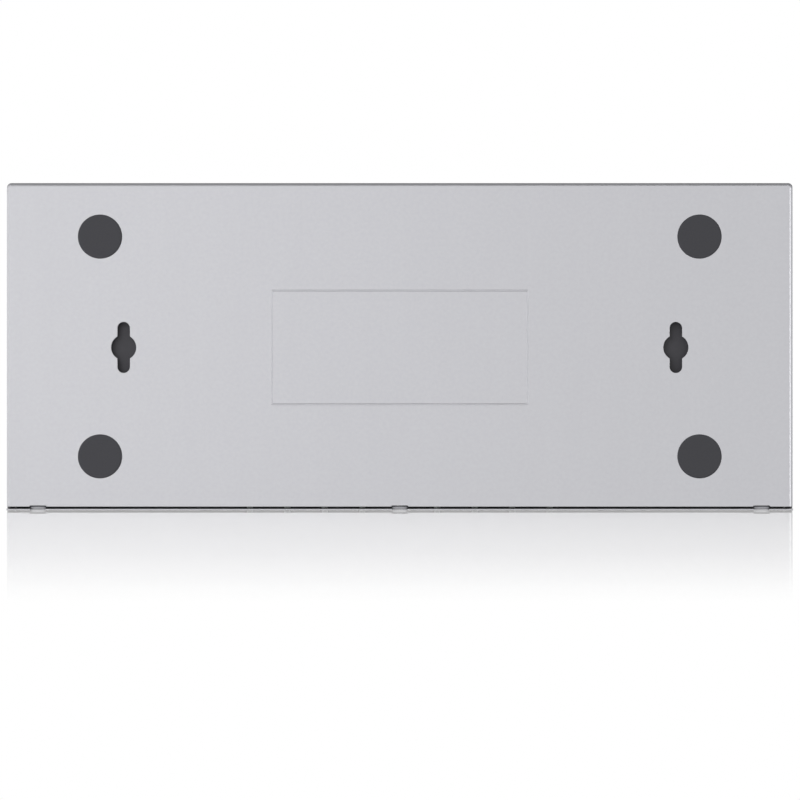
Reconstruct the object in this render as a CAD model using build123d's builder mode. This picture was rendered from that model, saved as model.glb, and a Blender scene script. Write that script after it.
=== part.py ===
from build123d import *
import os

# Eight-port desktop ethernet switch in a folded sheet-metal case, in millimetres.
# Z is up and the origin is under the middle of the feet. The ports and the power inlet
# are in the rear wall (+Y), the lamps are in the front wall (-Y).

# Case
case_width = 250.0
case_depth = 104.0
case_height = 25.0  # tray underside to cover top
tray_sheet = 0.8
tray_bend = 1.5  # outside radius of the tray's folds and rear corners
cover_sheet = 0.5
cover_bend = 1.0  # outside radius of the cover's folds
cover_fit = 0.1  # cover's side flanges to the tray's side walls
flange_depth = 8.0  # cover's side flanges, from its top
front_seam = 0.6  # cover's front wall to the bottom's front edge
side_seam = 0.1  # cover's front wall to the tray's side walls
rim_drop = 0.1  # tops of the tray's side walls below the lid's face
corner_top_gap = 0.5  # tops of the tray's rear corners to the lid
rear_flange = 5.0  # depth of the shelf that the cover lies on
rear_return = 6.0  # how far the rear wall wraps round each corner
corner_slit = 0.3
edge_round = 0.35  # sheared lower edge of the cover's front wall

# Three lugs of the cover that hook into notches in the tray's front edge
lug_width = 4.9
lug_reach = 1.25  # from the cover's front face
lug_sink = 1.0  # lug's underside above the tray's
lug_bend = 0.9
lug_corner = 0.3
lug_inset = 10.0  # outer lugs, from the cover's sides
lug_clearance = 0.2

# Bottom plate
foot_diameter = 14.0
foot_height = 2.0
foot_inset_x = 29.8
foot_inset_y = 17.1
keyhole_spacing = 175.5
keyhole_diameter = 8.0
keyhole_slot_width = 4.0
keyhole_slot_length = 16.2
keyhole_shift = -0.3  # keyholes and label frame lie this far off the middle
label_width = 81.2
label_depth = 36.1
label_groove = 0.6  # width of the pressed line that frames the label's place
label_groove_depth = 0.2
label_groove_slope = 45.0  # degrees

# Side vents and cover screws
vent_width = 2.0
vent_height = 10.0
vent_pitch = 5.0
vent_count = 11
screw_inset = 14.0  # cover screws, one each side, from the rear face
screw_radius = 1.5
screw_head_radius = 2.75
screw_length = 6.0
screw_sink = 0.05  # head below the cover's face
screw_clearance = 0.1
clinch_nut_radius = 3.0
clinch_nut_length = 2.0
thread_clearance = 0.02

# Board
board_thickness = 1.6
board_lift = 4.0  # tray floor to board underside
board_side_gap = 7.0  # board edge to the case's outer face
board_front_gap = 4.0
board_rear_gap = 5.0
board_hole_radius = 1.6
standoff_width = 5.5  # across the flats
standoff_bore = 1.25
standoff_side_inset = 10.0  # from the board's side edges
standoff_front_inset = 11.0
standoff_rear_inset = 27.0
board_screw_length = 5.0
board_screw_head_radius = 2.75
board_screw_head_height = 1.8
film_thickness = 0.25
film_margin = 3.0
film_hole_width = 7.5
film_rear_gap = 26.0  # keeps the film clear of the shields' legs

# Port gangs
port_count = 4  # ports in each gang
port_pitch = 13.97
port_width = 11.8
port_height = 6.8
port_depth = 14.6
latch_width = 6.2
latch_height = 1.9
latch_depth = 8.0
latch_floor = 1.0  # housing underside to the latch notch
housing_wall = 0.6  # beyond the outer ports' pitch, each side
housing_depth = 20.0
housing_height = 12.6
housing_fit = 0.05
shield_sheet = 0.3
shield_window_margin = 0.15
gang_inset = 65.0  # first gang's middle, from the case's -X side
gang_spacing = 60.0
port_recess = 0.1  # shield face behind the rear face
window_clearance = 0.35
shield_leg_width = 1.8
shield_leg_length = 2.2
shield_leg_setback = 12.0
shield_leg_clearance = 0.05
finger_width = 2.6
finger_length = 6.0
finger_slot = 0.4
finger_rise = 0.25
finger_setback = 1.2
finger_crest = 3.6  # from the finger's root

# Contact wires
contact_count = 8
contact_pitch = 1.02
contact_wire = 0.35
contact_slot_height = 0.9
contact_slot_wall = 0.8  # housing behind the wires
contact_slot_front = 3.6  # housing in front of the wires' bend
contact_slot_margin = 0.5
contact_drop = 1.9  # tips below the port's ceiling
contact_reach = 7.6  # tips behind the bend

# Power inlet
power_inset = 25.0  # inlet axis, from the case's side
power_body_width = 9.0
power_body_height = 11.0
power_body_depth = 13.5
power_axis_height = 5.6  # above the board
power_mouth_radius = 3.2
power_mouth_depth = 10.0
power_mouth_chamfer = 0.5
power_pin_radius = 1.05
power_pin_setback = 1.4
power_tail_radius = 0.8  # pin's tail through the body
power_lug_sheet = 0.5
power_lug_width = 2.4
power_spring_sheet = 0.3
power_spring_width = 2.0
power_spring_bow = 0.35
power_fit = 0.02

# Parts on the board. Those of the switch itself stand off the switch chip, which is midway
# between the gangs. Those of the power supply stand off the inlet's axis.
transformer_size = (15.2, 9.7, 5.4)
transformer_gap = 4.0  # behind the sockets
transformer_edge = 0.7
chip_size = (20.0, 20.0, 1.4)
chip_corner = 0.7
chip_y = -10.0
pad_thickness = 0.5
sink_width = 30.0
sink_base = 2.0
sink_height = 9.0
sink_fin = 1.0
sink_fin_count = 8
small_chip_size = (5.0, 4.0, 1.5)
small_chip_edge = 0.25
memory_step = (34.0, -4.0)
crystal_length = 11.0
crystal_width = 4.6
crystal_height = 3.5
crystal_step = (-28.0, 0.0)
regulator_step = (-18.0, -12.0)
inductor_width = 12.0
inductor_height = 6.0
inductor_corner = 2.5
inductor_step = (-2.0, -12.0)
capacitor_radius = 4.0
capacitor_height = 11.5
capacitor_step = (-16.0, 16.0)
capacitor_spacing = 11.0

# Lamps and light pipe
lamp_count = 9
lamp_pitch = 12.0
lamp_size = (2.0, 1.25, 0.8)
lamp_setback = 3.5  # behind the board's front edge
lamp_gap = 0.3  # lamp to light pipe
pipe_width = 2.0
pipe_tip_recess = 0.05
pipe_hole_clearance = 0.15
pipe_height = 5.0  # axis above the board
pipe_rail_height = 1.2
pipe_foot_width = 3.0
pipe_foot_overhang = 5.0

# Levels
tray_base = foot_height
tray_floor = tray_base + tray_sheet
lid_top = tray_base + case_height
lid_under = lid_top - cover_sheet
rim_top = lid_top - rim_drop
corner_top = lid_under - corner_top_gap
flange_base = lid_top - flange_depth
board_base = tray_floor + board_lift
board_top = board_base + board_thickness
vent_middle = (board_top + flange_base) / 2
screw_z = (flange_base + lid_under) / 2

# Faces
side_face = case_width / 2
front_face = -case_depth / 2
rear_face = case_depth / 2
front_inner = front_face + cover_sheet
tray_front = front_inner + front_seam
wall_front = front_inner + side_seam
tray_side_inner = side_face - tray_sheet
flange_face = tray_side_inner - cover_fit
flange_inner = flange_face - cover_sheet
shelf_half = flange_face - cover_bend
lid_front = front_face + cover_bend
rear_inner = rear_face - tray_sheet
screw_y = rear_face - screw_inset
through = case_width  # any length that passes the whole case

# Board outline and its fixings
board_half = side_face - board_side_gap
board_front = front_face + board_front_gap
board_rear = rear_face - board_rear_gap
board_middle = (board_front + board_rear) / 2
standoff_front = board_front + standoff_front_inset
standoff_rear = board_rear - standoff_rear_inset
standoff_x = board_half - standoff_side_inset
fixing_points = [(x, y) for x in (-standoff_x, standoff_x) for y in (standoff_front, standoff_rear)]

# Port gangs
shield_front = rear_face - port_recess
housing_front = shield_front - shield_sheet - housing_fit
housing_back = housing_front - housing_depth
housing_width = port_count * port_pitch + 2 * housing_wall
housing_top = board_top + housing_height
shield_width = housing_width + 2 * (housing_fit + shield_sheet)
shield_back = housing_back - housing_fit - shield_sheet
shield_top = housing_top + housing_fit + shield_sheet
gang_centres = [gang_inset - side_face, gang_inset - side_face + gang_spacing]
port_offsets = [(i - (port_count - 1) / 2) * port_pitch for i in range(port_count)]
latch_base = board_top + latch_floor
port_base = latch_base + latch_height
port_ceiling = port_base + port_height
slot_ceiling = port_ceiling + contact_slot_height
slot_back = housing_back + contact_slot_wall
slot_half = (contact_count - 1) * contact_pitch / 2 + contact_slot_margin

# Power inlet
power_x = side_face - power_inset
power_z = board_top + power_axis_height
power_front = rear_face - port_recess
power_back = power_front - power_body_depth

# Places of the parts on the board
chip_x = sum(gang_centres) / len(gang_centres)
chip_place = (chip_x, chip_y)
memory_place = (chip_x + memory_step[0], chip_y + memory_step[1])
crystal_place = (chip_x + crystal_step[0], chip_y + crystal_step[1])
regulator_place = (power_x + regulator_step[0], regulator_step[1])
inductor_place = (power_x + inductor_step[0], inductor_step[1])
capacitor_place = (power_x + capacitor_step[0], capacitor_step[1])

# Lamps
lamp_y = board_front + lamp_setback
lamp_xs = [(i - (lamp_count - 1) / 2) * lamp_pitch for i in range(lamp_count)]
pipe_z = board_top + pipe_height


def upright(y):
    """Sketch plane that stands across the case at this Y, with X across and Z up."""
    return Plane.XZ.offset(-y)


def on_board(place):
    """Sketch plane on the board's top at this X and Y."""
    return Plane((place[0], place[1], board_top))


os.makedirs("parts", exist_ok=True)

# Base tray: bottom, rear wall and side walls folded from one sheet
with BuildPart() as base_tray:
    with BuildSketch(Plane.XY.offset(tray_base)):
        with Locations((0, (wall_front + rear_face) / 2)):
            Rectangle(case_width, rear_face - wall_front)
    extrude(amount=rim_top - tray_base)
    rear_corners = base_tray.edges().filter_by(Axis.Z).group_by(Axis.Y)[-1]
    bottom_folds = base_tray.faces().sort_by(Axis.Z)[0].edges().sort_by(Axis.Y)[1:]
    fillet(list(rear_corners) + list(bottom_folds), tray_bend)
    open_top = base_tray.faces().sort_by(Axis.Z)[-1]
    open_front = base_tray.faces().sort_by(Axis.Y)[0]
    offset(amount=-tray_sheet, openings=[open_top, open_front])
    # The bottom and its side bends stop short of the front wall and leave the seam. The side
    # walls close it above the bends.
    with BuildSketch(Plane.XY.offset(tray_base)):
        with Locations((0, tray_front)):
            Rectangle(case_width, tray_front - wall_front, align=(Align.CENTER, Align.MAX))
    extrude(amount=2 * tray_bend, mode=Mode.SUBTRACT)
    # Their upper front corners are notched, clear of the cover's front fold
    with BuildSketch(Plane.YZ):
        with Locations((wall_front, lid_top - cover_bend - side_seam)):
            Rectangle(lid_front + 2 * side_seam - wall_front, case_height, align=(Align.MIN, Align.MIN))
    extrude(amount=through, both=True, mode=Mode.SUBTRACT)
    # The rear corners stop under the lid, and the rear wall stops lower, where its fold begins
    with BuildSketch(upright(rear_face)):
        with Locations((0, corner_top)):
            Rectangle(case_width, case_height, align=(Align.CENTER, Align.MIN))
        with Locations((0, lid_under - tray_bend)):
            Rectangle(2 * shelf_half, case_height, align=(Align.CENTER, Align.MIN))
    extrude(amount=tray_bend, mode=Mode.SUBTRACT)
    # The rear wall's top folds forward into the shelf that carries the cover
    with BuildSketch(Plane.YZ):
        with BuildLine():
            fold_start = (rear_face, lid_under - tray_bend)
            fold_end = (rear_face - tray_bend, lid_under)
            inner_end = (rear_face - tray_bend, lid_under - tray_sheet)
            inner_start = (rear_inner, lid_under - tray_bend)
            RadiusArc(fold_start, fold_end, -tray_bend)
            Polyline(fold_end, (rear_face - rear_flange, lid_under),
                     (rear_face - rear_flange, lid_under - tray_sheet), inner_end)
            RadiusArc(inner_end, inner_start, tray_bend - tray_sheet)
            Line(inner_start, fold_start)
        make_face()
    extrude(amount=shelf_half, both=True)
    # Slit where each side wall meets the rear wall's return
    with BuildSketch(Plane.YZ):
        with Locations((rear_face - rear_return, tray_base + 2 * tray_bend)):
            Rectangle(corner_slit, case_height, align=(Align.CENTER, Align.MIN))
    extrude(amount=through, both=True, mode=Mode.SUBTRACT)
    # Side vents
    with BuildSketch(Plane.YZ):
        with Locations((0, vent_middle)):
            with GridLocations(vent_pitch, 0, vent_count, 1):
                Rectangle(vent_width, vent_height)
    extrude(amount=through, both=True, mode=Mode.SUBTRACT)
    # Countersunk holes for the cover screws
    sink_radius = screw_head_radius + screw_clearance - screw_sink
    for side in (-1, 1):
        side_plane = Plane(origin=(side * side_face, 0, 0), x_dir=(0, side, 0), z_dir=(side, 0, 0))
        with Locations(side_plane):
            with Locations((side * screw_y, screw_z)):
                CounterSinkHole(screw_radius + screw_clearance, sink_radius, tray_sheet, 90)
    # Notches for the cover's lugs
    notch_depth = lug_reach + lug_clearance - (tray_front - front_face)
    with BuildSketch(Plane.XY.offset(tray_base)):
        with Locations((0, tray_front)):
            with GridLocations(side_face - lug_inset, 0, 3, 1):
                RectangleRounded(lug_width + 2 * lug_clearance, 2 * notch_depth, lug_corner)
    extrude(amount=tray_sheet, mode=Mode.SUBTRACT)
    # Keyholes in the bottom
    with BuildSketch(Plane.XY.offset(tray_base)):
        with Locations((0, keyhole_shift)):
            with GridLocations(keyhole_spacing, 0, 2, 1):
                Circle(keyhole_diameter / 2)
                SlotOverall(keyhole_slot_length, keyhole_slot_width, rotation=90)
    extrude(amount=tray_sheet, mode=Mode.SUBTRACT)
    # Frame of the label's place: a line pressed into the bottom, with sloping sides
    with BuildSketch(Plane.XY.offset(tray_base)):
        with Locations((0, keyhole_shift)):
            Rectangle(label_width + label_groove, label_depth + label_groove)
    extrude(amount=label_groove_depth, taper=label_groove_slope, mode=Mode.SUBTRACT)
    with BuildSketch(Plane.XY.offset(tray_base + label_groove_depth)):
        with Locations((0, keyhole_shift)):
            Rectangle(label_width - label_groove + 2 * label_groove_depth,
                      label_depth - label_groove + 2 * label_groove_depth)
    extrude(amount=-label_groove_depth, taper=label_groove_slope)
    # Windows in the rear wall for the port gangs and the power inlet
    with BuildSketch(upright(rear_face)):
        for centre in gang_centres:
            with Locations((centre, (board_top + shield_top) / 2)):
                Rectangle(shield_width + 2 * window_clearance,
                          shield_top - board_top + 2 * window_clearance)
        with Locations((power_x, board_top + power_body_height / 2)):
            Rectangle(power_body_width + 2 * window_clearance,
                      power_body_height + 2 * window_clearance)
    extrude(amount=rear_face - rear_inner, mode=Mode.SUBTRACT)
base_tray.part.label = "base_tray"
export_step(base_tray.part, "parts/base_tray.step")

# Top cover: the lid and its side flanges lie between the tray's side walls, and its front
# wall, folded from the same sheet, spans the full width
with BuildPart() as top_cover:
    with BuildSketch(Plane.XY.offset(flange_base)):
        with Locations((0, (lid_front + rear_face) / 2)):
            Rectangle(2 * flange_face, rear_face - lid_front)
    extrude(amount=flange_depth)
    side_folds = top_cover.faces().sort_by(Axis.Z)[-1].edges().filter_by(Axis.Y)
    fillet(side_folds, cover_bend)
    open_base = top_cover.faces().sort_by(Axis.Z)[0]
    open_ends = top_cover.faces().filter_by(Axis.Y)
    offset(amount=-cover_sheet, openings=[open_base, *open_ends])
    # Flanges stop short of the front wall and of the tray's rounded rear corners
    with BuildSketch(Plane.YZ):
        with Locations((lid_front, flange_base)):
            Rectangle(2 * corner_slit, lid_top - cover_bend - flange_base, align=(Align.CENTER, Align.MIN))
        with Locations((rear_face, flange_base)):
            Rectangle(2 * (tray_bend + corner_slit), lid_top - cover_bend - flange_base,
                      align=(Align.CENTER, Align.MIN))
    extrude(amount=through, both=True, mode=Mode.SUBTRACT)
    # Front wall with its fold
    with BuildSketch(Plane.YZ):
        with BuildLine():
            wall_fold = (front_face, lid_top - cover_bend)
            lid_fold = (lid_front, lid_top)
            lid_fold_inner = (lid_front, lid_under)
            wall_fold_inner = (front_inner, lid_top - cover_bend)
            RadiusArc(wall_fold, lid_fold, cover_bend)
            Line(lid_fold, lid_fold_inner)
            RadiusArc(lid_fold_inner, wall_fold_inner, cover_sheet - cover_bend)
            Polyline(wall_fold_inner, (front_inner, tray_base), (front_face, tray_base), wall_fold)
        make_face()
    extrude(amount=side_face, both=True)
    front_lip = top_cover.edges().filter_by(Axis.X).group_by(Axis.Z)[0].sort_by(Axis.Y)[-1]
    fillet(front_lip, edge_round)
    # Lugs: the wall is cut away and its sheet folds inwards in its place
    lug_base = tray_base + lug_sink
    with BuildSketch(upright(front_face)):
        with Locations((0, tray_base)):
            with GridLocations(side_face - lug_inset, 0, 3, 1):
                Rectangle(lug_width, lug_sink + lug_bend, align=(Align.CENTER, Align.MIN))
    extrude(amount=-cover_sheet, mode=Mode.SUBTRACT)
    lug_centres = [lug_inset - side_face, 0, side_face - lug_inset]
    with BuildSketch(*[Plane.YZ.offset(x) for x in lug_centres]):
        with BuildLine():
            lug_root = (front_face, lug_base + lug_bend)
            lug_flat = (front_face + lug_bend, lug_base)
            lug_inner_flat = (front_face + lug_bend, lug_base + cover_sheet)
            lug_inner_root = (front_inner, lug_base + lug_bend)
            RadiusArc(lug_root, lug_flat, -lug_bend)
            Polyline(lug_flat, (front_face + lug_reach, lug_base),
                     (front_face + lug_reach, lug_base + cover_sheet), lug_inner_flat)
            RadiusArc(lug_inner_flat, lug_inner_root, lug_bend - cover_sheet)
            Line(lug_inner_root, lug_root)
        make_face()
    extrude(amount=lug_width / 2, both=True)
    lug_tips = top_cover.edges().filter_by(Axis.Z).filter_by_position(
        Axis.Y, front_face + lug_reach - edge_round, front_face + lug_reach + edge_round)
    fillet(lug_tips.filter_by_position(Axis.Z, lug_base, lug_base + cover_sheet), lug_corner)
    # Holes in the flanges, wide enough for the screws' heads where they come through the tray
    flange_hole_radius = sink_radius - tray_sheet + screw_clearance
    with BuildSketch(Plane.YZ):
        with Locations((screw_y, screw_z)):
            Circle(flange_hole_radius)
    extrude(amount=through, both=True, mode=Mode.SUBTRACT)
    # Lamp windows in the front wall
    with BuildSketch(upright(front_face)):
        with Locations(*[(x, pipe_z) for x in lamp_xs]):
            Rectangle(pipe_width + 2 * pipe_hole_clearance, pipe_width + 2 * pipe_hole_clearance)
    extrude(amount=-cover_sheet, mode=Mode.SUBTRACT)
top_cover.part.label = "top_cover"
export_step(top_cover.part, "parts/top_cover.step")

# Feet
foot_x = side_face - foot_inset_x
foot_y = rear_face - foot_inset_y
foot_places = [(x, y) for y in (-foot_y, foot_y) for x in (-foot_x, foot_x)]
for number, place in enumerate(foot_places, 1):
    with BuildPart() as foot:
        with BuildSketch(Plane.XY.offset(tray_base)):
            with Locations(place):
                Circle(foot_diameter / 2)
        extrude(amount=-foot_height)
    foot.part.label = f"foot_{number}"
    export_step(foot.part, f"parts/foot_{number}.step")

# Cover screws: flat heads, one each side, through the tray into clinch nuts on the flanges
head_face = side_face - screw_sink
head_depth = screw_head_radius - screw_radius
with BuildPart() as cover_screws:
    for side in (-1, 1):
        axis_plane = Plane(origin=(side * head_face, screw_y, screw_z), x_dir=(0, 1, 0), z_dir=(-side, 0, 0))
        with BuildSketch(axis_plane):
            Circle(screw_radius)
        extrude(amount=screw_length)
        with Locations(axis_plane):
            Cone(screw_head_radius, screw_radius, head_depth,
                 align=(Align.CENTER, Align.CENTER, Align.MIN))
cover_screws.part.label = "cover_screws"
export_step(cover_screws.part, "parts/cover_screws.step")

with BuildPart() as clinch_nuts:
    for side in (-1, 1):
        seat = Plane(origin=(side * flange_inner, screw_y, screw_z), x_dir=(0, 1, 0), z_dir=(-side, 0, 0))
        with BuildSketch(seat):
            RegularPolygon(clinch_nut_radius, 6)
            Circle(screw_radius + thread_clearance, mode=Mode.SUBTRACT)
        extrude(amount=clinch_nut_length)
clinch_nuts.part.label = "clinch_nuts"
export_step(clinch_nuts.part, "parts/clinch_nuts.step")

# Standoffs, board and board screws share the same fixing points
with BuildPart() as board_standoffs:
    with BuildSketch(Plane.XY.offset(tray_floor)):
        with Locations(*fixing_points):
            RegularPolygon(standoff_width / 2, 6, major_radius=False)
            Circle(standoff_bore, mode=Mode.SUBTRACT)
    extrude(amount=board_lift)
board_standoffs.part.label = "board_standoffs"
export_step(board_standoffs.part, "parts/board_standoffs.step")

with BuildPart() as insulating_film:
    film_front = board_front + film_margin
    film_back = rear_face - film_rear_gap
    with BuildSketch(Plane.XY.offset(board_base - film_thickness)):
        with Locations((0, (film_front + film_back) / 2)):
            Rectangle(2 * (board_half - film_margin), film_back - film_front)
        with Locations(*fixing_points):
            Rectangle(film_hole_width, film_hole_width, mode=Mode.SUBTRACT)
    extrude(amount=film_thickness)
insulating_film.part.label = "insulating_film"
export_step(insulating_film.part, "parts/insulating_film.step")

leg_y = shield_front - shield_leg_setback
leg_x = (shield_width - shield_sheet) / 2
leg_places = [(centre + side * leg_x, leg_y) for centre in gang_centres for side in (-1, 1)]
with BuildPart() as circuit_board:
    with BuildSketch(Plane.XY.offset(board_base)):
        with Locations((0, board_middle)):
            Rectangle(2 * board_half, board_rear - board_front)
        with Locations(*fixing_points):
            Circle(board_hole_radius, mode=Mode.SUBTRACT)
        with Locations(*leg_places):
            Rectangle(shield_sheet + 2 * shield_leg_clearance, shield_leg_width + 2 * shield_leg_clearance,
                      mode=Mode.SUBTRACT)
    extrude(amount=board_thickness)
circuit_board.part.label = "circuit_board"
export_step(circuit_board.part, "parts/circuit_board.step")

with BuildPart() as board_screws:
    with BuildSketch(Plane.XY.offset(board_top)):
        with Locations(*fixing_points):
            Circle(board_screw_head_radius)
    extrude(amount=board_screw_head_height)
    with BuildSketch(Plane.XY.offset(board_top)):
        with Locations(*fixing_points):
            Circle(standoff_bore - thread_clearance)
    extrude(amount=-board_screw_length)
board_screws.part.label = "board_screws"
export_step(board_screws.part, "parts/board_screws.step")

# Port gangs: a moulded housing with four stepped sockets inside a stamped shield
for number, centre in enumerate(gang_centres, 1):
    port_xs = [centre + x for x in port_offsets]
    with BuildPart() as jack_housing:
        with BuildSketch(Plane.XY.offset(board_top)):
            with Locations((centre, (housing_front + housing_back) / 2)):
                Rectangle(housing_width, housing_depth)
        extrude(amount=housing_height)
        with BuildSketch(upright(housing_front)):
            with Locations(*[(x, port_base) for x in port_xs]):
                Rectangle(port_width, port_height, align=(Align.CENTER, Align.MIN))
        extrude(amount=port_depth, mode=Mode.SUBTRACT)
        with BuildSketch(upright(housing_front)):
            with Locations(*[(x, latch_base) for x in port_xs]):
                Rectangle(latch_width, latch_height, align=(Align.CENTER, Align.MIN))
        extrude(amount=latch_depth, mode=Mode.SUBTRACT)
        # Channel that carries the wires along the ceiling and down the back to the board
        with BuildSketch(*[Plane.YZ.offset(x) for x in port_xs]):
            with BuildLine():
                Polyline((slot_back, board_top), (slot_back, slot_ceiling),
                         (housing_front - contact_slot_front, slot_ceiling),
                         (housing_front - contact_slot_front, port_ceiling),
                         (slot_back + contact_slot_height, port_ceiling),
                         (slot_back + contact_slot_height, board_top), close=True)
            make_face()
        extrude(amount=slot_half, both=True, mode=Mode.SUBTRACT)
    jack_housing.part.label = f"jack_housing_{number}"
    export_step(jack_housing.part, f"parts/jack_housing_{number}.step")

    with BuildPart() as jack_shield:
        with BuildSketch(Plane.XY.offset(board_top)):
            with Locations((centre, (shield_front + shield_back) / 2)):
                Rectangle(shield_width, shield_front - shield_back)
        extrude(amount=shield_top - board_top)
        offset(amount=-shield_sheet, openings=jack_shield.faces().sort_by(Axis.Z)[0])
        # Socket windows with the latch notch
        with BuildSketch(upright(shield_front)):
            with Locations(*[(x, port_base - shield_window_margin) for x in port_xs]):
                Rectangle(port_width + 2 * shield_window_margin, port_height + 2 * shield_window_margin,
                          align=(Align.CENTER, Align.MIN))
            with Locations(*[(x, latch_base - shield_window_margin) for x in port_xs]):
                Rectangle(latch_width + 2 * shield_window_margin, latch_height,
                          align=(Align.CENTER, Align.MIN))
        extrude(amount=shield_sheet, mode=Mode.SUBTRACT)
        # Legs that pass through the board
        with BuildSketch(Plane.XY.offset(board_top)):
            with Locations((centre - leg_x, leg_y), (centre + leg_x, leg_y)):
                Rectangle(shield_sheet, shield_leg_width)
        extrude(amount=-shield_leg_length)
        # Earthing fingers cut out of the top and bowed up against the case
        finger_end = shield_front - finger_setback
        finger_start = finger_end - finger_length
        with BuildSketch(Plane.XY.offset(shield_top)):
            with Locations(*[(x, finger_end + finger_slot) for x in port_xs]):
                Rectangle(finger_width + 2 * finger_slot, finger_length + finger_slot,
                          align=(Align.CENTER, Align.MAX))
        extrude(amount=-shield_sheet, mode=Mode.SUBTRACT)
        with BuildSketch(*[Plane.YZ.offset(x) for x in port_xs]):
            with BuildLine():
                crest = finger_start + finger_crest
                under = shield_top - shield_sheet
                Polyline((finger_start, shield_top), (crest, shield_top + finger_rise),
                         (finger_end, shield_top), (finger_end, under),
                         (crest, under + finger_rise), (finger_start, under), close=True)
            make_face()
        extrude(amount=finger_width / 2, both=True)
    jack_shield.part.label = f"jack_shield_{number}"
    export_step(jack_shield.part, f"parts/jack_shield_{number}.step")

# Contact wires of each port: up from the board, along the ceiling, then folded back down
wire_xs = [(i - (contact_count - 1) / 2) * contact_pitch for i in range(contact_count)]
wire_bend = housing_front - contact_slot_front - contact_wire
all_ports = [centre + x for centre in gang_centres for x in port_offsets]
for number, port_x in enumerate(all_ports, 1):
    with BuildPart() as port_contacts:
        with BuildSketch(*[Plane.YZ.offset(port_x + x) for x in wire_xs]):
            with BuildLine():
                leg = slot_back + contact_wire / 2
                run = slot_ceiling - contact_wire / 2
                Polyline((leg, board_top), (leg, run), (wire_bend - contact_wire, run),
                         (wire_bend, run - 2 * contact_wire),
                         (wire_bend - contact_reach, port_ceiling - contact_drop))
            trace(line_width=contact_wire)
        extrude(amount=contact_wire / 2, both=True)
    port_contacts.part.label = f"port_contacts_{number}"
    export_step(port_contacts.part, f"parts/port_contacts_{number}.step")

# Power inlet: moulded body with a round mouth, centre pin and side spring
power_bore_end = power_front - power_mouth_depth
power_tip = power_front - power_pin_setback
spring_slot_depth = power_spring_sheet + power_fit
with BuildPart() as power_jack_housing:
    with BuildSketch(Plane.XY.offset(board_top)):
        with Locations((power_x, (power_front + power_back) / 2)):
            Rectangle(power_body_width, power_body_depth)
    extrude(amount=power_body_height)
    top_sides = power_jack_housing.edges().filter_by(Axis.Y).group_by(Axis.Z)[-1]
    chamfer(top_sides, power_mouth_chamfer)
    with BuildSketch(upright(power_front)):
        with Locations((power_x, power_z)):
            Circle(power_mouth_radius)
    extrude(amount=power_mouth_depth, mode=Mode.SUBTRACT)
    mouth = power_jack_housing.faces().sort_by(Axis.Y)[-1].edges().filter_by(GeomType.CIRCLE)
    chamfer(mouth, power_mouth_chamfer)
    # Hole for the pin's tail
    with BuildSketch(upright(power_bore_end)):
        with Locations((power_x, power_z)):
            Circle(power_tail_radius + power_fit)
    extrude(amount=power_bore_end - power_back, mode=Mode.SUBTRACT)
    # Slot for the spring below the mouth, right through to the back
    with BuildSketch(upright(power_front - 2 * power_mouth_chamfer)):
        with Locations((power_x, power_z - power_mouth_radius)):
            Rectangle(power_spring_width + 2 * power_fit, 2 * spring_slot_depth)
    extrude(amount=power_body_depth, mode=Mode.SUBTRACT)
power_jack_housing.part.label = "power_jack_housing"
export_step(power_jack_housing.part, "parts/power_jack_housing.step")

with BuildPart() as power_jack_pin:
    with BuildSketch(upright(power_tip)):
        with Locations((power_x, power_z)):
            Circle(power_pin_radius)
    extrude(amount=power_tip - power_bore_end)
    with BuildSketch(upright(power_bore_end)):
        with Locations((power_x, power_z)):
            Circle(power_tail_radius)
    extrude(amount=power_bore_end - power_back)
    # Solder lug behind the body, down to the board beside the spring's lug
    with BuildSketch(upright(power_back)):
        with Locations((power_x, board_top)):
            Rectangle(power_lug_width, power_axis_height + power_pin_radius, align=(Align.CENTER, Align.MIN))
    extrude(amount=power_lug_sheet)
power_jack_pin.part.label = "power_jack_pin"
export_step(power_jack_pin.part, "parts/power_jack_pin.step")

with BuildPart() as power_jack_spring:
    spring_top = power_z - power_mouth_radius + power_fit
    spring_front = power_front - 2 * power_mouth_chamfer - power_fit
    spring_crest = (spring_front + power_bore_end) / 2
    with BuildSketch(Plane.YZ.offset(power_x)):
        with BuildLine():
            Polyline((power_back, spring_top), (power_bore_end, spring_top),
                     (spring_crest, spring_top + power_spring_bow), (spring_front, spring_top),
                     (spring_front, spring_top - power_spring_sheet),
                     (spring_crest, spring_top + power_spring_bow - power_spring_sheet),
                     (power_bore_end, spring_top - power_spring_sheet),
                     (power_back, spring_top - power_spring_sheet), close=True)
        make_face()
    extrude(amount=power_spring_width / 2, both=True)
power_jack_spring.part.label = "power_jack_spring"
export_step(power_jack_spring.part, "parts/power_jack_spring.step")

# Line transformers behind the sockets, one for each pair of ports
transformer_y = shield_back - transformer_gap - transformer_size[1] / 2
transformer_xs = [centre + side * port_pitch for centre in gang_centres for side in (-1, 1)]
for number, x in enumerate(transformer_xs, 1):
    with BuildPart() as transformer:
        with BuildSketch(on_board((x, transformer_y))):
            Rectangle(transformer_size[0], transformer_size[1])
        extrude(amount=transformer_size[2])
        chamfer(transformer.faces().sort_by(Axis.Z)[-1].edges(), transformer_edge)
    transformer.part.label = f"transformer_{number}"
    export_step(transformer.part, f"parts/transformer_{number}.step")

with BuildPart() as switch_chip:
    with BuildSketch(on_board(chip_place)):
        Rectangle(chip_size[0], chip_size[1])
    extrude(amount=chip_size[2])
    chamfer(switch_chip.edges().filter_by(Axis.Z), chip_corner)
switch_chip.part.label = "switch_chip"
export_step(switch_chip.part, "parts/switch_chip.step")

pad_plane = Plane((chip_place[0], chip_place[1], board_top + chip_size[2]))
with BuildPart() as thermal_pad:
    with BuildSketch(pad_plane):
        Rectangle(chip_size[0], chip_size[1])
    extrude(amount=pad_thickness)
thermal_pad.part.label = "thermal_pad"
export_step(thermal_pad.part, "parts/thermal_pad.step")

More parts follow.
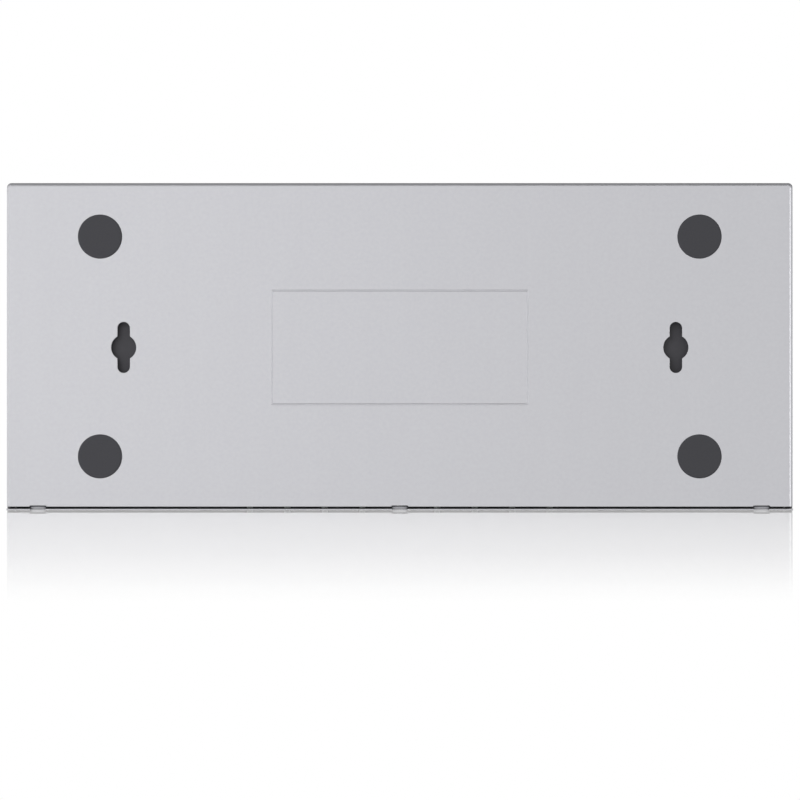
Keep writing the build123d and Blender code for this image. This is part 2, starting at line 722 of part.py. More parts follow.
with BuildPart() as heat_sink:
    with BuildSketch(pad_plane.offset(pad_thickness)):
        Rectangle(sink_width, sink_width)
    extrude(amount=sink_base)
    fin_pitch = (sink_width - sink_fin) / (sink_fin_count - 1)
    with BuildSketch(pad_plane.offset(pad_thickness + sink_base)):
        with GridLocations(fin_pitch, 0, sink_fin_count, 1):
            Rectangle(sink_fin, sink_width)
    extrude(amount=sink_height - sink_base)
heat_sink.part.label = "heat_sink"
export_step(heat_sink.part, "parts/heat_sink.step")

for name, place in (("memory_chip", memory_place), ("regulator_chip", regulator_place)):
    with BuildPart() as small_chip:
        with BuildSketch(on_board(place)):
            Rectangle(small_chip_size[0], small_chip_size[1])
        extrude(amount=small_chip_size[2])
        chamfer(small_chip.faces().sort_by(Axis.Z)[-1].edges(), small_chip_edge)
    small_chip.part.label = name
    export_step(small_chip.part, f"parts/{name}.step")

with BuildPart() as crystal:
    with BuildSketch(on_board(crystal_place)):
        SlotOverall(crystal_length, crystal_width)
    extrude(amount=crystal_height)
crystal.part.label = "crystal"
export_step(crystal.part, "parts/crystal.step")

with BuildPart() as power_inductor:
    with BuildSketch(on_board(inductor_place)):
        Rectangle(inductor_width, inductor_width)
    extrude(amount=inductor_height)
    chamfer(power_inductor.edges().filter_by(Axis.Z), inductor_corner)
power_inductor.part.label = "power_inductor"
export_step(power_inductor.part, "parts/power_inductor.step")

# Bulk capacitors
for number, step in enumerate((0, capacitor_spacing), 1):
    with BuildPart() as bulk_capacitor:
        with BuildSketch(on_board((capacitor_place[0] + step, capacitor_place[1]))):
            Circle(capacitor_radius)
        extrude(amount=capacitor_height)
    bulk_capacitor.part.label = f"bulk_capacitor_{number}"
    export_step(bulk_capacitor.part, f"parts/bulk_capacitor_{number}.step")

# Status lamps and the light pipe that carries them to the front wall
with BuildPart() as status_lamps:
    with BuildSketch(Plane.XY.offset(board_top)):
        with Locations(*[(x, lamp_y) for x in lamp_xs]):
            Rectangle(lamp_size[0], lamp_size[1])
    extrude(amount=lamp_size[2])
status_lamps.part.label = "status_lamps"
export_step(status_lamps.part, "parts/status_lamps.step")

with BuildPart() as light_pipe:
    pipe_base = board_top + lamp_size[2] + lamp_gap
    pipe_top = pipe_z + pipe_width / 2
    pipe_front = front_face + pipe_tip_recess
    pipe_near = lamp_y - pipe_width / 2
    pipe_far = lamp_y + pipe_width / 2
    with BuildSketch(*[Plane.YZ.offset(x) for x in lamp_xs]):
        with BuildLine():
            Polyline((pipe_near, pipe_base), (pipe_near, pipe_top - pipe_width),
                     (pipe_front, pipe_top - pipe_width), (pipe_front, pipe_top),
                     (pipe_near, pipe_top), (pipe_far, pipe_top - pipe_width),
                     (pipe_far, pipe_base), close=True)
        make_face()
    extrude(amount=pipe_width / 2, both=True)
    # Rail behind the fingers, on a foot at each end that stands on the board
    rail_half = lamp_xs[-1] + pipe_foot_overhang
    with BuildSketch(Plane.YZ):
        with Locations((pipe_far, pipe_base + pipe_rail_height)):
            Rectangle(pipe_width, pipe_rail_height, align=(Align.MIN, Align.CENTER))
    extrude(amount=rail_half, both=True)
    foot_middle = rail_half - pipe_foot_width / 2
    with BuildSketch(Plane.XY.offset(board_top)):
        with Locations((foot_middle, pipe_far), (-foot_middle, pipe_far)):
            Rectangle(pipe_foot_width, pipe_width, align=(Align.CENTER, Align.MIN))
    extrude(amount=pipe_base - board_top + pipe_rail_height)
light_pipe.part.label = "light_pipe"
export_step(light_pipe.part, "parts/light_pipe.step")
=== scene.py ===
import math

import bpy
import numpy as np
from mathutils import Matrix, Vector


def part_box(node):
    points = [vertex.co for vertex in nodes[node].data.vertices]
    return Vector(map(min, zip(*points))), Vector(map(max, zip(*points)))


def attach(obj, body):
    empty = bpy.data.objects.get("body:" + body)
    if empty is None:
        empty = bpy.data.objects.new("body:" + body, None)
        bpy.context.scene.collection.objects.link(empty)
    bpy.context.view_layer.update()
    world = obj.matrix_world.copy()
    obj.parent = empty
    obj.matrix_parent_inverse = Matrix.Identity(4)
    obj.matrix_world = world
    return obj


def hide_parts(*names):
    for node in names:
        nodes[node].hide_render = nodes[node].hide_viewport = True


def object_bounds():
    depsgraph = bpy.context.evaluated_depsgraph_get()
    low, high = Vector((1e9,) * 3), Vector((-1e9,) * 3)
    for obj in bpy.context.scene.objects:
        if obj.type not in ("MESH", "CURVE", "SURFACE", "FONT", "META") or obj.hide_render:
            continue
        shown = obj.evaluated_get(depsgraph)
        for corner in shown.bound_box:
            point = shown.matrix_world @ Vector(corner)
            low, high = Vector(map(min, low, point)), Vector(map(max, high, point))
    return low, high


# An eight-port ethernet switch seen from below, stood on its front edge on a glossy white floor.
# Metres, Z up: the plate with the feet faces -Z, the ports +Y, and the lamps -Y.

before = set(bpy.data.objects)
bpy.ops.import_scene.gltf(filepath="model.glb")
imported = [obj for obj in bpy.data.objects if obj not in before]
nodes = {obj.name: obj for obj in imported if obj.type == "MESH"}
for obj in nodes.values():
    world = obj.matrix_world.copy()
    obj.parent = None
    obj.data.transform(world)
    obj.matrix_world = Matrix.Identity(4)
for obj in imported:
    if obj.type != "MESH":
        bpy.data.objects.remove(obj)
cadLow, cadHigh = [list(corner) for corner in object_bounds()]
mm = 0.001
print("frame loaded:", len(nodes), "nodes")


def linear(hexColour):
    # sRGB hex to linear light, one channel at a time
    channels = [int(hexColour[i:i + 2], 16) / 255 for i in (1, 3, 5)]
    return tuple(c / 12.92 if c <= 0.04045 else ((c + 0.055) / 1.055) ** 2.4 for c in channels) + (1.0,)


def addNode(tree, kind, settings=None, values=None, links=None):
    # settings go on the node, values on its sockets, links name (node, output) for a socket
    node = tree.nodes.new(kind)
    for name, value in (settings or {}).items():
        setattr(node, name, value)
    for socket, value in (values or {}).items():
        node.inputs[socket].default_value = value
    for socket, (source, output) in (links or {}).items():
        tree.links.new(source.outputs[output], node.inputs[socket])
    return node


def blankTree(owner):
    owner.use_nodes = True
    owner.node_tree.nodes.clear()
    return owner.node_tree


# What every finish has unless its own look says otherwise. Grain, edge, streak and recess
# lengths are millimetres on the real thing.
commonLook = {"detail": 3.0, "stretch": (1, 1, 1), "relief": 0.1, "reliefDepth": 0.2, "edgeSamples": 6,
              "metallic": 0.0, "ior": 1.5}


def mottledMaterial(name, ownLook):
    # The shared ground of the materials: one shader whose colour wanders between two near
    # tones with a grain of a real size, and the same grain as a shallow relief.
    look = {**commonLook, **ownLook}
    material = bpy.data.materials.new(name)
    tree = blankTree(material)
    place = addNode(tree, "ShaderNodeTexCoord")
    stretch = addNode(tree, "ShaderNodeMapping", values={"Scale": look["stretch"]},
                      links={"Vector": (place, "Object")})
    grain = addNode(tree, "ShaderNodeTexNoise",
                    values={"Scale": 1 / (look["grain"] * mm), "Detail": look["detail"]},
                    links={"Vector": (stretch, "Vector")})
    tone = addNode(tree, "ShaderNodeMix", {"data_type": "RGBA"},
                   {"A": linear(look["dark"]), "B": linear(look["light"])}, {"Factor": (grain, "Fac")})
    reliefDepth = look["grain"] * mm * look["reliefDepth"]
    relief = addNode(tree, "ShaderNodeBump", values={"Strength": look["relief"], "Distance": reliefDepth},
                     links={"Height": (grain, "Fac")})
    if "edge" in look:  # rolls the light softly over folds and sheared edges
        rolled = addNode(tree, "ShaderNodeBevel", {"samples": look["edgeSamples"]},
                         {"Radius": look["edge"] * mm})
        tree.links.new(rolled.outputs["Normal"], relief.inputs["Normal"])
    shader = addNode(tree, "ShaderNodeBsdfPrincipled",
                     values={"Roughness": look["roughness"], "Metallic": look["metallic"],
                             "IOR": look["ior"]},
                     links={"Base Color": (tone, "Result"), "Normal": (relief, "Normal")})
    addNode(tree, "ShaderNodeOutputMaterial", links={"Surface": (shader, "BSDF")})
    return material, tree, shader, tone, place


# Case sheet: steel with a satin silver powder coat, whose aluminium flakes mirror a part of
# the light: folds turned to a lamp shine and folds turned to the dark read dark. The baked
# powder gives a fine mottle, and the levelled sheet below shows as faint streaks along Y.
# Painted shade: the coat is darkened where ambient occlusion finds the surroundings close in, past
# notchFrom millimetres from the middle, so the lugs in the notches of the front edge read greyer.
caseLook = {"dark": "#c6c6cb", "light": "#d0d0d4", "grain": 1.1, "roughness": 0.2, "relief": 0.05,
            "metallic": 0.42, "edge": 0.25,
            "streak": 6.0, "streakLength": 90.0, "streakDetail": 2.0, "streakDark": "#c3c3c8",
            "streakShare": 0.3,
            "recess": 1.6, "paintedShadeTone": "#5c5c61", "recessOpen": 0.95, "recessShut": 0.68,
            "recessSamples": 8, "notchFrom": 50.2, "notchTo": 50.5}


def powderCoatedSteel(look):
    material, tree, shader, tone, place = mottledMaterial("powderCoatedSteel", look)
    lengthwise = look["streak"] / look["streakLength"]
    along = addNode(tree, "ShaderNodeMapping", values={"Scale": (1, lengthwise, lengthwise)},
                    links={"Vector": (place, "Object")})
    streak = addNode(tree, "ShaderNodeTexNoise",
                     values={"Scale": 1 / (look["streak"] * mm), "Detail": look["streakDetail"]},
                     links={"Vector": (along, "Vector")})
    share = addNode(tree, "ShaderNodeMath", {"operation": "MULTIPLY"}, {1: look["streakShare"]},
                    {0: (streak, "Fac")})
    streaked = addNode(tree, "ShaderNodeMix", {"data_type": "RGBA"}, {"B": linear(look["streakDark"])},
                       {"A": (tone, "Result"), "Factor": (share, "Value")})
    # Painted shade: ambient occlusion, near the front edge only, mixes the coat's colour towards a dark grey
    outlook = addNode(tree, "ShaderNodeAmbientOcclusion", {"samples": look["recessSamples"]},
                      {"Distance": look["recess"] * mm})
    closed = addNode(tree, "ShaderNodeMapRange",
                     values={"From Min": look["recessOpen"], "From Max": look["recessShut"]},
                     links={"Value": (outlook, "AO")})
    position = addNode(tree, "ShaderNodeSeparateXYZ", links={"Vector": (place, "Object")})
    notched = addNode(tree, "ShaderNodeMapRange",
                      values={"From Min": -look["notchFrom"] * mm, "From Max": -look["notchTo"] * mm},
                      links={"Value": (position, "Y")})
    paintedShadeShare = addNode(tree, "ShaderNodeMath", {"operation": "MULTIPLY"},
                   links={0: (closed, "Result"), 1: (notched, "Result")})
    coat = addNode(tree, "ShaderNodeMix", {"data_type": "RGBA"}, {"B": linear(look["paintedShadeTone"])},
                   {"A": (streaked, "Result"), "Factor": (paintedShadeShare, "Value")})
    tree.links.new(coat.outputs["Result"], shader.inputs["Base Color"])
    return material


# The other finishes need only the shared ground. Each says what the real material is and
# what its making gives the eye.
plainLooks = {
    # Moulded rubber: near black grey, matt, with a fine mould grain
    "foot_rubber": {"name": "mouldedRubber", "dark": "#3a3a3e", "light": "#414145", "grain": 0.5,
                    "roughness": 0.75, "relief": 0.25, "ior": 1.52},
    # Rolled insulating film: dark and slightly glossy
    "film_plastic": {"name": "insulatingFilm", "dark": "#3f3e43", "light": "#444348", "grain": 2.0,
                     "roughness": 0.45, "relief": 0.03},
    # Zinc-plated steel: pale bluish metal, softly bright
    "zinc_steel": {"name": "zincPlatedSteel", "dark": "#b4b6ba", "light": "#c6c8cc", "grain": 0.8,
                   "roughness": 0.32, "metallic": 1.0, "relief": 0.05},
    # Epoxy glass board under green solder resist: even, glossy, weave just felt
    "board_laminate": {"name": "greenSolderResist", "dark": "#12573a", "light": "#176444", "grain": 0.7,
                       "roughness": 0.3, "relief": 0.05},
    # Stamped and nickel-plated steel shields: grey metal with faint rolling marks along Y
    "shield_metal": {"name": "nickelPlatedSteel", "dark": "#b2b0ab", "light": "#c2c0bc", "grain": 0.8,
                     "stretch": (1, 0.1, 1), "roughness": 0.28, "metallic": 1.0, "relief": 0.04},
    # Moulded black socket plastic with glass fibre: dull sheen
    "socket_plastic": {"name": "mouldedBlackPlastic", "dark": "#161617", "light": "#1d1d1f", "grain": 0.4,
                       "roughness": 0.5, "relief": 0.1},
    # Gold flash over nickel on the contact wires: thin, warm and bright
    "contact_gold": {"name": "goldFlash", "dark": "#cfa653", "light": "#dfb968", "grain": 0.5,
                     "roughness": 0.22, "metallic": 1.0, "relief": 0.02},
    # Transfer-moulded epoxy of the chips: near black, fine matt grain
    "chip_plastic": {"name": "mouldedEpoxy", "dark": "#1f2022", "light": "#28292b", "grain": 0.25,
                     "roughness": 0.6, "relief": 0.2},
    # Filled silicone gap pad: matt grey-blue
    "pad_silicone": {"name": "filledSilicone", "dark": "#7c8794", "light": "#8893a0", "grain": 0.6,
                     "roughness": 0.8, "relief": 0.15},
    # Extruded aluminium, black anodised: drawn lines run along the fins
    "sink_aluminium": {"name": "blackAnodisedAluminium", "dark": "#26272a", "light": "#303135", "grain": 0.5,
                       "stretch": (1, 0.06, 1), "roughness": 0.42, "metallic": 0.6, "relief": 0.08},
    # Drawn aluminium can of the capacitors and the crystal: bright, satin
    "can_aluminium": {"name": "drawnAluminium", "dark": "#bfc1c3", "light": "#cdcfd1", "grain": 0.6,
                      "stretch": (1, 1, 0.1), "roughness": 0.3, "metallic": 1.0, "relief": 0.04},
    # Sintered ferrite of the power inductor: dark grey with a sandy face
    "inductor_ferrite": {"name": "sinteredFerrite", "dark": "#3a3b3d", "light": "#46474a", "grain": 0.3,
                         "roughness": 0.65, "relief": 0.25},
    # Cast epoxy of the small lamps: milky white
    "lamp_resin": {"name": "castLampResin", "dark": "#dcdcd2", "light": "#e6e6dc", "grain": 0.6,
                   "roughness": 0.35, "relief": 0.02},
}

# Moulded clear acrylic light pipe: frosted at its tips, so it looks pale and doesn't show through
pipeLook = {"name": "frostedAcrylic", "dark": "#dfe6e3", "light": "#e9efec", "grain": 0.5,
            "roughness": 0.3, "relief": 0.02, "ior": 1.49, "transmission": 0.6}


def buildMaterials():
    made = {"case_steel": powderCoatedSteel(caseLook)}
    for slotName, look in plainLooks.items():
        made[slotName] = mottledMaterial(look["name"], look)[0]
    made["pipe_acrylic"], tree, shader = mottledMaterial(pipeLook["name"], pipeLook)[:3]
    shader.inputs["Transmission Weight"].default_value = pipeLook["transmission"]
    return made


def slotOf(node):
    # Name of the record's slot that this CAD node's mesh came in with
    return nodes[node].data.materials[0].name.split(".")[0]


materials = buildMaterials()
for nodeName, node in nodes.items():
    ownSlot = slotOf(nodeName)
    for index in range(len(node.data.materials)):
        node.data.materials[index] = materials[ownSlot]
print("materials set:", len(materials))


def meshPiece(name, points, faces, material, smooth=True):
    mesh = bpy.data.meshes.new(name)
    mesh.from_pydata(points.reshape(-1, 3).tolist(), [], faces.tolist())
    mesh.materials.append(material)
    mesh.polygons.foreach_set("use_smooth", [smooth] * len(mesh.polygons))
    mesh.update()
    piece = bpy.data.objects.new(name, mesh)
    bpy.context.scene.collection.objects.link(piece)
    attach(piece, "root")
    return piece


def gridFaces(rows, columns):
    # Quads of a grid whose columns close on themselves: a point's number is its row times
    # the columns plus its column, and the last column is followed by the first
    row, column = np.meshgrid(np.arange(rows - 1), np.arange(columns), indexing="ij")
    here, below = row * columns, (row + 1) * columns
    after = (column + 1) % columns
    return np.stack([here + column, here + after, below + after, below + column], -1).reshape(-1, 4)


# Feet: moulded rubber discs, drafted, with a rounded rim and a faintly dished sole. Rim and
# dish are millimetres, and soleZone is the share of the height in which the sole is looked for.
footLook = {"count": 4, "rim": 0.45, "dish": 0.04, "soleZone": 0.25, "rimSteps": 8, "soleSteps": 6,
            "turns": 96}


def buildFoot(number, look):
    # Revolve: radius and height run down the drafted wall, round the rim by a quarter turn and
    # in to the middle of the sole, and the angle carries that profile round the foot's axis
    node = f"foot_{number}"
    low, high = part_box(node)
    centre = (np.array(low) + np.array(high)) / 2
    radius, height = (high[0] - low[0]) / 2, high[2] - low[2]
    corners = np.array([corner.co for corner in nodes[node].data.vertices])
    sole = corners[corners[:, 2] < low[2] + height * look["soleZone"]]
    soleRadius = np.hypot(*(sole[:, :2] - centre[:2]).T).max()
    rim, dish = look["rim"] * mm, look["dish"] * mm
    turn = np.linspace(0, math.pi / 2, look["rimSteps"])
    inward = np.linspace(1, 0, look["soleSteps"])[1:]
    flat = soleRadius - rim
    profileR = np.concatenate([[0, radius], flat + rim * np.cos(turn), flat * inward])
    profileZ = np.concatenate([[high[2], high[2]], low[2] + rim - rim * np.sin(turn),
                               low[2] + dish * (1 - inward ** 2)])
    angle = np.linspace(0, 2 * math.pi, look["turns"], endpoint=False)
    x = centre[0] + profileR[:, None] * np.cos(angle)
    y = centre[1] + profileR[:, None] * np.sin(angle)
    z = np.broadcast_to(profileZ[:, None], x.shape)
    faces = gridFaces(len(profileR), look["turns"])[:, ::-1]
    foot = meshPiece(f"rubberFoot{number}", np.stack([x, y, z], -1), faces, materials["foot_rubber"])
    # Seen only by the camera, so the floor's mirror image shows the bare, lit plate
    foot.visible_glossy = False
    foot.visible_diffuse = False
    foot.visible_shadow = False
    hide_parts(node)


for number in range(1, footLook["count"] + 1):
    buildFoot(number, footLook)
print("feet built")


# Cover screws: zinc-plated countersunk heads with a cross recess, one in each side wall,
# in millimetres
screwLook = {"shankRadius": 1.5, "rim": 0.08, "recessReach": 1.55, "recessWidth": 0.55, "recessDepth": 0.9,
             "recessEdge": 0.18, "faceSteps": 44, "turns": 96}


def crossRecess(u, v, look):
    # Depth below the head's face: the deeper of two arms at right angles, whose sides slope
    # in over the recess edge and whose floor rises towards the arm's end
    def arm(along, across):
        slope = (look["recessWidth"] / 2 + look["recessEdge"] - np.abs(across)) / look["recessEdge"]
        end = (look["recessReach"] - np.abs(along)) / look["recessReach"]
        return np.clip(slope, 0, 1) * np.sqrt(np.clip(end, 0, 1))
    return look["recessDepth"] * np.maximum(arm(u, v), arm(v, u))


def buildScrews(look):
    # Revolve about X: rings run out over the recessed face, down the cone and along the shank,
    # and the same screw stands mirrored in the other side wall
    low, high = [np.array(corner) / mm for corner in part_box("cover_screws")]
    axisY, axisZ = (low[1:] + high[1:]) / 2
    headRadius = (high[1] - low[1]) / 2
    shankRadius, rim, faceSteps = look["shankRadius"], look["rim"], look["faceSteps"]
    tips = np.abs(np.array([corner.co[0] for corner in nodes["cover_screws"].data.vertices])) / mm
    length = high[0] - tips.min()
    radius = np.concatenate([np.linspace(0, headRadius - rim, faceSteps),
                             [headRadius, shankRadius, shankRadius, 0]])
    depth = np.concatenate([np.zeros(faceSteps), [rim / 2, headRadius - shankRadius, length, length]])
    angle = np.linspace(0, 2 * math.pi, look["turns"], endpoint=False)
    u = radius[:, None] * np.cos(angle)
    v = radius[:, None] * np.sin(angle)
    onFace = np.arange(len(radius))[:, None] < faceSteps
    inward = depth[:, None] + np.where(onFace, crossRecess(u, v, look), 0)
    points, faces = [], []
    ringFaces = gridFaces(len(radius), look["turns"])
    for side in (1, -1):
        faces.append(ringFaces[:, ::side] + len(points) * u.size)
        points.append(np.stack([side * (high[0] - inward), axisY + u, axisZ + v], -1).reshape(-1, 3) * mm)
    screws = meshPiece("crossRecessScrews", np.concatenate(points), np.concatenate(faces),
                       materials["zinc_steel"], smooth=False)
    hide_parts("cover_screws")


buildScrews(screwLook)
print("cover screws built")


# Stage. The photograph stands the switch on its front edge: a mirror floor seen only by the
# camera lies at that edge. A second floor under the feet is for the upright views.
# Lengths are millimetres. levelCard is its half width, near side, far side and height, and
# lowCard its half width, distance, top and bottom. The glances are Layer Weight values.
stageLook = {"halfSize": 1500.0, "floorTone": "#f4f4f5", "floorDrop": 0.02, "floorMargin": 15.0,
             "floorFadeStart": 320.0, "floorFadeEnd": 700.0,
             "mirrorRise": 0.16, "mirrorNear": 0.1, "mirrorFar": 1400.0,
             "squareGlance": 0.5, "lowGlance": 0.75,
             "kerbGap": 2.0, "kerbTop": 3.5, "levelCard": (300.0, 58.0, 600.0, 27.5),
             "lowCard": (700.0, 300.0, -10.0, -190.0), "cardTone": "#0a0a0a", "worldDiffuse": 0.30}

# Share of the mirror image that shows, against millimetres below the contact line as they
# appear at the plate: strong at the line and gone after about 30 mm
mirrorFade = [(0.0, 0.64), (6.5, 0.50), (14.0, 0.36), (18.0, 0.25), (22.0, 0.15), (25.5, 0.06),
              (29.5, 0.0)]

cameraSettings = {"place": (-0.00007, -0.0170, -1.4105), "lens": 200.0, "sensor": 36.0}


def flatPanel(name, corners, material):
    mesh = bpy.data.meshes.new(name)
    mesh.from_pydata(corners, [], [(0, 1, 2, 3)])
    mesh.materials.append(material)
    panel = bpy.data.objects.new(name, mesh)
    bpy.context.scene.collection.objects.link(panel)
    return panel


def onlySeenByCamera(panel):
    panel.visible_diffuse = False
    panel.visible_glossy = False
    panel.visible_transmission = False
    panel.visible_shadow = False


def mirrorFloorMaterial(look, fade):
    # Polished floor of a photo studio. By similar triangles, a point t in front of the object
    # appears below the contact line by the camera's height times t over its distance less t.
    material = bpy.data.materials.new("glossyStudioFloor")
    tree = blankTree(material)
    place = addNode(tree, "ShaderNodeTexCoord")
    position = addNode(tree, "ShaderNodeSeparateXYZ", links={"Vector": (place, "Object")})
    cameraDistance = -cameraSettings["place"][2] / mm
    cameraHeight = (cameraSettings["place"][1] - cadLow[1]) / mm
    ahead = addNode(tree, "ShaderNodeMath", {"operation": "MULTIPLY"}, {1: -1 / mm}, {0: (position, "Z")})
    rise = addNode(tree, "ShaderNodeMath", {"operation": "MULTIPLY"}, {1: cameraHeight},
                   {0: (ahead, "Value")})
    remaining = addNode(tree, "ShaderNodeMath", {"operation": "SUBTRACT"}, {0: cameraDistance},
                        {1: (ahead, "Value")})
    depth = addNode(tree, "ShaderNodeMath", {"operation": "DIVIDE"},
                    links={0: (rise, "Value"), 1: (remaining, "Value")})
    last = fade[-1][0]
    along = addNode(tree, "ShaderNodeMath", {"operation": "DIVIDE", "use_clamp": True}, {1: last},
                    {0: (depth, "Value")})
    ramp = addNode(tree, "ShaderNodeValToRGB", links={"Fac": (along, "Value")})
    stops = ramp.color_ramp.elements
    while len(stops) < len(fade):
        stops.new(0.5)  # put in its place just below
    for stop, (belowLine, share) in zip(stops, fade):
        stop.position = belowLine / last
        stop.color = (share, share, share, 1)
    mirror = addNode(tree, "ShaderNodeBsdfGlossy", values={"Roughness": 0.0, "Color": (1, 1, 1, 1)})
    clear = addNode(tree, "ShaderNodeBsdfTransparent")
    # Polish mirrors at a low glance and hardly at all when looked at squarely
    glance = addNode(tree, "ShaderNodeLayerWeight", values={"Blend": 0.5})
    low = addNode(tree, "ShaderNodeMapRange",
                  values={"From Min": look["squareGlance"], "From Max": look["lowGlance"]},
                  links={"Value": (glance, "Facing")})
    shown = addNode(tree, "ShaderNodeMath", {"operation": "MULTIPLY"},
                    links={0: (ramp, "Color"), 1: (low, "Result")})
    faded = addNode(tree, "ShaderNodeMixShader",
                    links={0: (shown, "Value"), 1: (clear, "BSDF"), 2: (mirror, "BSDF")})
    # The back is clear, and so is what is seen through the fading rim of the other floor
    side = addNode(tree, "ShaderNodeNewGeometry")
    path = addNode(tree, "ShaderNodeLightPath")
    hidden = addNode(tree, "ShaderNodeMath", {"operation": "MAXIMUM"},
                     links={0: (side, "Backfacing"), 1: (path, "Transparent Depth")})
    oneSided = addNode(tree, "ShaderNodeMixShader",
                       links={0: (hidden, "Value"), 1: (faded, "Shader"), 2: (clear, "BSDF")})
    addNode(tree, "ShaderNodeOutputMaterial", links={"Surface": (oneSided, "Shader")})
    return material


def floorMaterial(look):
    # Painted studio floor: matt and pale, solid near the object and fading out to the white
    # background. It is seen from above only.
    material = bpy.data.materials.new("paleStudioFloor")
    tree = blankTree(material)
    place = addNode(tree, "ShaderNodeTexCoord")
    reach = addNode(tree, "ShaderNodeVectorMath", {"operation": "LENGTH"}, links={0: (place, "Object")})
    solid = addNode(tree, "ShaderNodeMapRange",
                    values={"From Min": look["floorFadeEnd"] * mm, "From Max": look["floorFadeStart"] * mm},
                    links={"Value": (reach, "Value")})
    side = addNode(tree, "ShaderNodeNewGeometry")
    front = addNode(tree, "ShaderNodeMath", {"operation": "SUBTRACT"}, {0: 1.0}, {1: (side, "Backfacing")})
    upper = addNode(tree, "ShaderNodeMath", {"operation": "MULTIPLY"},
                    links={0: (front, "Value"), 1: (solid, "Result")})
    # Reflections see the floor only beyond a margin round the object, which leaves the way
    # free between the lamps below and the plate
    position = addNode(tree, "ShaderNodeSeparateXYZ", links={"Vector": (place, "Object")})
    beyond = []
    for axis, caseReach in (("X", cadHigh[0]), ("Y", cadHigh[1])):
        away = addNode(tree, "ShaderNodeMath", {"operation": "ABSOLUTE"}, links={0: (position, axis)})
        beyond.append(addNode(tree, "ShaderNodeMath", {"operation": "GREATER_THAN"},
                              {1: caseReach + look["floorMargin"] * mm}, {0: (away, "Value")}))
    outside = addNode(tree, "ShaderNodeMath", {"operation": "MAXIMUM"},
                      links={0: (beyond[0], "Value"), 1: (beyond[1], "Value")})
    path = addNode(tree, "ShaderNodeLightPath")
    allowed = addNode(tree, "ShaderNodeMath", {"operation": "MAXIMUM"},
                      links={0: (outside, "Value"), 1: (path, "Is Camera Ray")})
    shown = addNode(tree, "ShaderNodeMath", {"operation": "MULTIPLY"},
                    links={0: (upper, "Value"), 1: (allowed, "Value")})
    clear = addNode(tree, "ShaderNodeBsdfTransparent")
    pale = addNode(tree, "ShaderNodeBsdfDiffuse", values={"Color": linear(look["floorTone"])})
    mixed = addNode(tree, "ShaderNodeMixShader",
                    links={0: (shown, "Value"), 1: (clear, "BSDF"), 2: (pale, "BSDF")})
    addNode(tree, "ShaderNodeOutputMaterial", links={"Surface": (mixed, "Shader")})
    return material


def blackFlagMaterial(look):
    # Black cloth of a studio flag: matt, close to black
    material = bpy.data.materials.new("blackFlag")
    tree = blankTree(material)
    matt = addNode(tree, "ShaderNodeBsdfDiffuse", values={"Color": linear(look["cardTone"])})
    addNode(tree, "ShaderNodeOutputMaterial", links={"Surface": (matt, "BSDF")})
    return material


def lying(half, nearY, farY, z):
    # Corners of a level panel, from one side to the other and back
    return [(-half, nearY, z), (half, nearY, z), (half, farY, z), (-half, farY, z)]


def upright(half, y, fromZ, toZ):
    # Corners of a panel across the object, from one side to the other and back
    return [(-half, y, fromZ), (half, y, fromZ), (half, y, toZ), (-half, y, toZ)]


def buildFloors(look):
    half = look["halfSize"] * mm
    mirrorY = cadLow[1] + look["mirrorRise"] * mm
    mirrorOutline = upright(half, mirrorY, -look["mirrorNear"] * mm, -look["mirrorFar"] * mm)
    mirror = flatPanel("mirrorFloor", mirrorOutline, mirrorFloorMaterial(look, mirrorFade))
    onlySeenByCamera(mirror)
    floor = flatPanel("floor", lying(half, -half, half, -look["floorDrop"] * mm), floorMaterial(look))
    onlySeenByCamera(floor)
    floor.visible_glossy = True


def buildCards(look):
    # Dark cards that only reflections see: kerbs close along the rear fold and the front edge,
    # low cards farther off for the frame's long lines, and one level with the lid, which
    # neither the lid nor the rear wall mirrors from above
    black = blackFlagMaterial(look)
    kerbHalf, kerbGap, kerbTop = cadHigh[0], look["kerbGap"] * mm, look["kerbTop"] * mm
    wide, away, high, low = [length * mm for length in look["lowCard"]]
    outlines = {"levelCard": lying(*[length * mm for length in look["levelCard"]]),
                "rearKerb": upright(kerbHalf, cadHigh[1] + kerbGap, 0, kerbTop),
                "frontKerb": upright(kerbHalf, cadLow[1] - kerbGap, 0, kerbTop),
                "rearCard": upright(wide, away, low, high),
                "frontCard": upright(wide, -away, low, high)}
    for name, outline in outlines.items():
        card = flatPanel(name, outline, black)
        card.visible_camera = False
        card.visible_diffuse = False
        card.visible_shadow = False


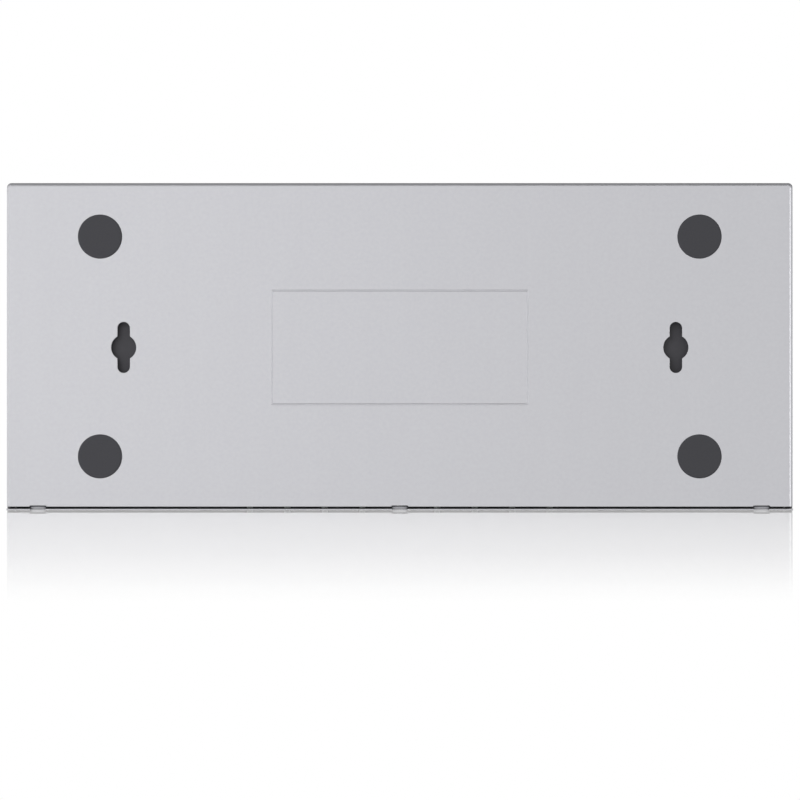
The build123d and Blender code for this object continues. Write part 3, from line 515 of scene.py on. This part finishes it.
def buildWorld(look):
    # Plain white wherever it is seen, directly or in gloss or glass, and dimmer as a light
    world = bpy.data.worlds.new("studio")
    bpy.context.scene.world = world
    tree = blankTree(world)
    path = addNode(tree, "ShaderNodeLightPath")
    seen = addNode(tree, "ShaderNodeMath", {"operation": "MAXIMUM"},
                   links={0: (path, "Is Camera Ray"), 1: (path, "Is Glossy Ray")})
    white = addNode(tree, "ShaderNodeMath", {"operation": "MAXIMUM"},
                    links={0: (seen, "Value"), 1: (path, "Is Transmission Ray")})
    strength = addNode(tree, "ShaderNodeMapRange", values={"To Min": look["worldDiffuse"]},
                       links={"Value": (white, "Value")})
    sky = addNode(tree, "ShaderNodeBackground", values={"Color": (1, 1, 1, 1)},
                  links={"Strength": (strength, "Result")})
    addNode(tree, "ShaderNodeOutputWorld", links={"Surface": (sky, "Background")})


# Lamps, in metres and watts: the soft key nearly faces the plate, a little towards +X, the
# photograph's left. One from that side keeps the near fold light, and one opposite draws a
# line along the far fold. The last two are for upright views. A lamp that isn't mirrored
# lights the coat without a glint in its folds.
lampSettings = {
    "key": {"place": (0.27, 0.12, -1.0), "size": 0.6, "power": 4.5, "mirrored": False},
    "sideLeft": {"place": (0.9, 0.05, -0.50), "size": 0.5, "power": 3.7, "mirrored": False},
    "sideRight": {"place": (-1.0, 0.0, -0.70), "size": 0.5, "power": 1.3, "mirrored": True},
    "frontLeft": {"place": (-0.45, -0.9, 1.0), "size": 0.9, "power": 11.7, "mirrored": False},
    "backRight": {"place": (0.35, 0.65, 1.25), "size": 0.9, "power": 10.9, "mirrored": False},
}


def buildLamps(lamps):
    for name, lamp in lamps.items():
        light = bpy.data.lights.new(name, "AREA")
        light.shape = "DISK"
        light.size = lamp["size"]
        light.energy = lamp["power"]
        holder = bpy.data.objects.new(name, light)
        bpy.context.scene.collection.objects.link(holder)
        holder.location = lamp["place"]
        towards = -holder.location.normalized()
        holder.rotation_euler = towards.to_track_quat("-Z", "Y").to_euler()
        holder.visible_camera = False
        holder.visible_glossy = lamp["mirrored"]


def placeCamera(settings):
    lens = bpy.data.cameras.new("photoCamera")
    lens.lens = settings["lens"]
    lens.sensor_width = settings["sensor"]
    camera = bpy.data.objects.new("photoCamera", lens)
    bpy.context.scene.collection.objects.link(camera)
    camera.location = settings["place"]
    camera.rotation_euler = (0, math.pi, 0)  # looks up at the plate, with +Y at the top
    bpy.context.scene.camera = camera


buildFloors(stageLook)
buildCards(stageLook)
buildWorld(stageLook)
buildLamps(lampSettings)
placeCamera(cameraSettings)
bpy.context.scene.view_settings.view_transform = "Standard"
print("stage, lamps and camera set")
